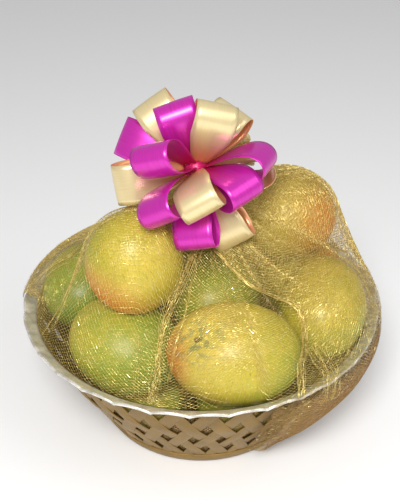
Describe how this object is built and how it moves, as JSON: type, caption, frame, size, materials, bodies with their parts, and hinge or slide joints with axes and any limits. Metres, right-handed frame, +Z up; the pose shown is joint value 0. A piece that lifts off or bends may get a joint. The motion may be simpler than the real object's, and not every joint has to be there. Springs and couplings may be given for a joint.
{
  "type": "fruit gift basket",
  "caption": "Round lattice basket heaped with mangoes under a gold net that is tied at the top with a looped ribbon bow.",
  "frame": {"origin": "middle of the basket's flat base, on the surface it stands on", "axes": "+Z up; -Y is the front, which the bow faces; +X is the right side seen from the front"},
  "size_m": [0.3032, 0.3018, 0.3087],
  "materials": {
    "basket": "champagne lacquered steel strip with a silver rim, slightly tarnished",
    "rim": "silver plated rim, satin",
    "net": "knitted net of gold metallic yarn",
    "mango_skin": "waxy mango skin, yellow to green with an orange blush",
    "magenta_ribbon": "magenta satin ribbon",
    "gold_ribbon": "pale gold satin ribbon"
  },
  "bodies": {
    "root": {"basket": "basket", "netted_mangoes": "net", "bow_knot": "magenta_ribbon", "neck_tie": "magenta_ribbon", "ribbon_loop_top": "magenta_ribbon", "ribbon_loop_upper_left_gold": "gold_ribbon", "ribbon_loop_upper_left": "magenta_ribbon", "ribbon_loop_left_gold": "gold_ribbon", "ribbon_loop_left_front": "magenta_ribbon", "ribbon_loop_lower_left_gold": "gold_ribbon", "ribbon_loop_lower_left": "magenta_ribbon", "ribbon_loop_bottom": "magenta_ribbon", "ribbon_loop_front_gold": "gold_ribbon", "ribbon_loop_bottom_gold": "gold_ribbon", "ribbon_loop_lower_right": "magenta_ribbon", "ribbon_loop_right": "magenta_ribbon", "ribbon_loop_right_gold": "gold_ribbon", "ribbon_loop_upper_right_gold": "gold_ribbon", "ribbon_loop_far_right_gold": "gold_ribbon"}
  },
  "joints": []
}
